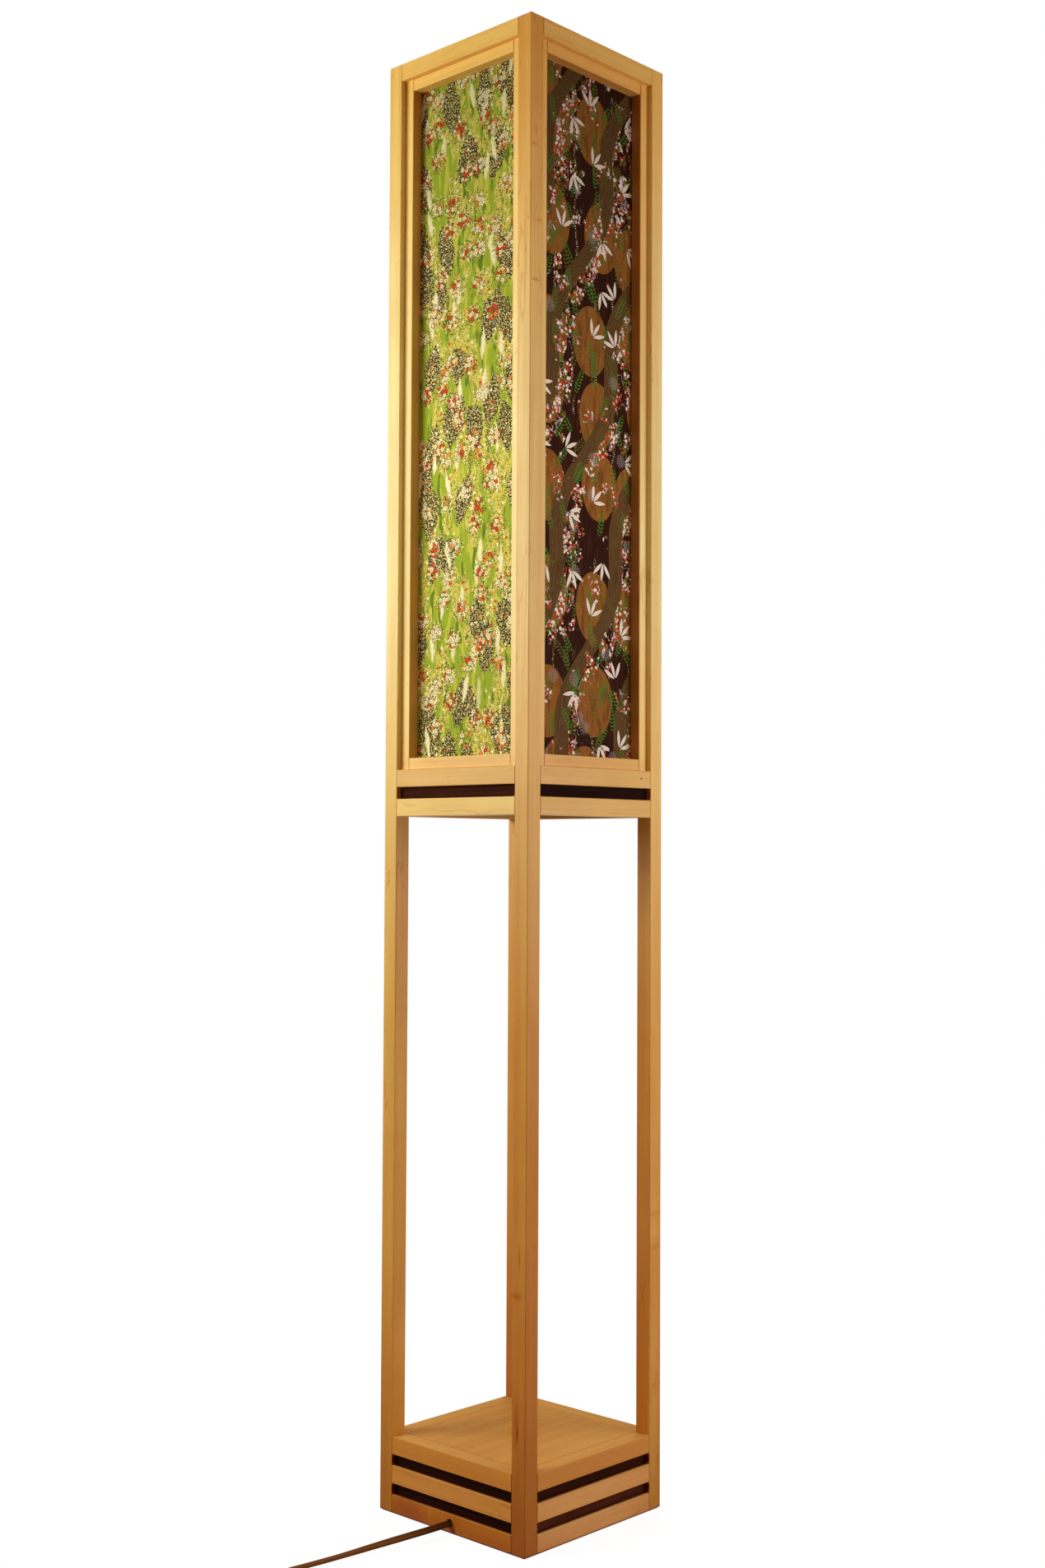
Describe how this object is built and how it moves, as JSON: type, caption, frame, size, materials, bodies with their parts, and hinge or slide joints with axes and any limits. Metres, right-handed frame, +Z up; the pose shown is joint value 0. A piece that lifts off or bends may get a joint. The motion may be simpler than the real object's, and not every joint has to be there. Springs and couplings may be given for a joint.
{
  "type": "andon floor lamp",
  "caption": "Tall square wooden floor lamp with a paper-panelled light box over open legs, a slatted base, and a coiled cord with a thumbwheel switch and plug",
  "frame": {"origin": "on the floor at the middle of the square base, the loose cord left out", "axes": "+Z up; -Y is the front, the side with the cord hole in its bottom rail and green paper; +X is the right side, with dark paper"},
  "size_m": [0.2228, 0.5594, 1.588],
  "materials": {
    "maple": "clear satin",
    "dark_wood": "stained matte",
    "green_paper": "printed paper",
    "dark_paper": "printed paper",
    "steel": "zinc plated",
    "iron": "black",
    "brass": "satin",
    "aluminium": "bright",
    "frosted_glass": "frosted",
    "felt": "felt",
    "black_plastic": "matte",
    "brown_plastic": "semi-gloss",
    "brown_cord": "semi-gloss"
  },
  "bodies": {
    "lamp": {"post_front_left": "maple", "post_front_right": "maple", "post_rear_left": "maple", "post_rear_right": "maple", "lower_rail_front": "maple", "lower_rail_right": "maple", "lower_rail_rear": "maple", "lower_rail_left": "maple", "main_rail_front": "maple", "main_rail_right": "maple", "main_rail_rear": "maple", "main_rail_left": "maple", "top_rail_front": "maple", "top_rail_right": "maple", "top_rail_rear": "maple", "top_rail_left": "maple", "base_cord_rail": "maple", "base_bottom_rails": "maple", "base_middle_rails": "maple", "base_upper_rails": "maple", "slot_spacers": "dark_wood", "panel_frame_front": "maple", "panel_frame_right": "maple", "panel_frame_left": "maple", "panel_paper_front": "green_paper", "panel_paper_right": "dark_paper", "panel_paper_left": "dark_paper", "stop_cleats": "maple", "panel_magnets": "steel", "base_floor_board": "dark_wood", "base_top_board": "maple", "lamp_board": "maple", "ballast_plate": "iron", "base_felt": "felt", "cord_clamp": "black_plastic", "board_cleats": "maple", "board_screws": "brass", "clamp_screws": "brass", "wire_connectors": "black_plastic", "wireway_strip": "maple", "lamp_pipe": "steel", "pipe_nuts": "brass", "holder_cap": "brass", "holder_shell": "brass", "holder_insert": "black_plastic", "holder_contact": "brass", "bulb_cap": "aluminium", "bulb_glass": "frosted_glass", "inner_lead": "brown_cord", "power_cord": "brown_cord", "cord_coil": "brown_cord", "switch_base": "brown_plastic", "switch_cover": "brown_plastic", "switch_screw": "steel", "plug_body": "brown_plastic", "plug_blades": "brass"},
    "rear_panel": {"panel_frame_rear": "maple", "panel_paper_rear": "green_paper", "strike_discs": "steel"},
    "switch_wheel": {"switch_wheel": "brown_plastic"}
  },
  "joints": [
    {"name": "rear_panel_slide", "type": "slide", "parent": "lamp", "child": "rear_panel", "axis": [0, 1, 0], "range_m": [0, 0.06]},
    {"name": "switch_wheel_turn", "type": "hinge", "parent": "lamp", "child": "switch_wheel", "pos_m": [-0.0104, -0.35613, 0.0075], "axis": [0, 0, 1], "continuous": true}
  ]
}
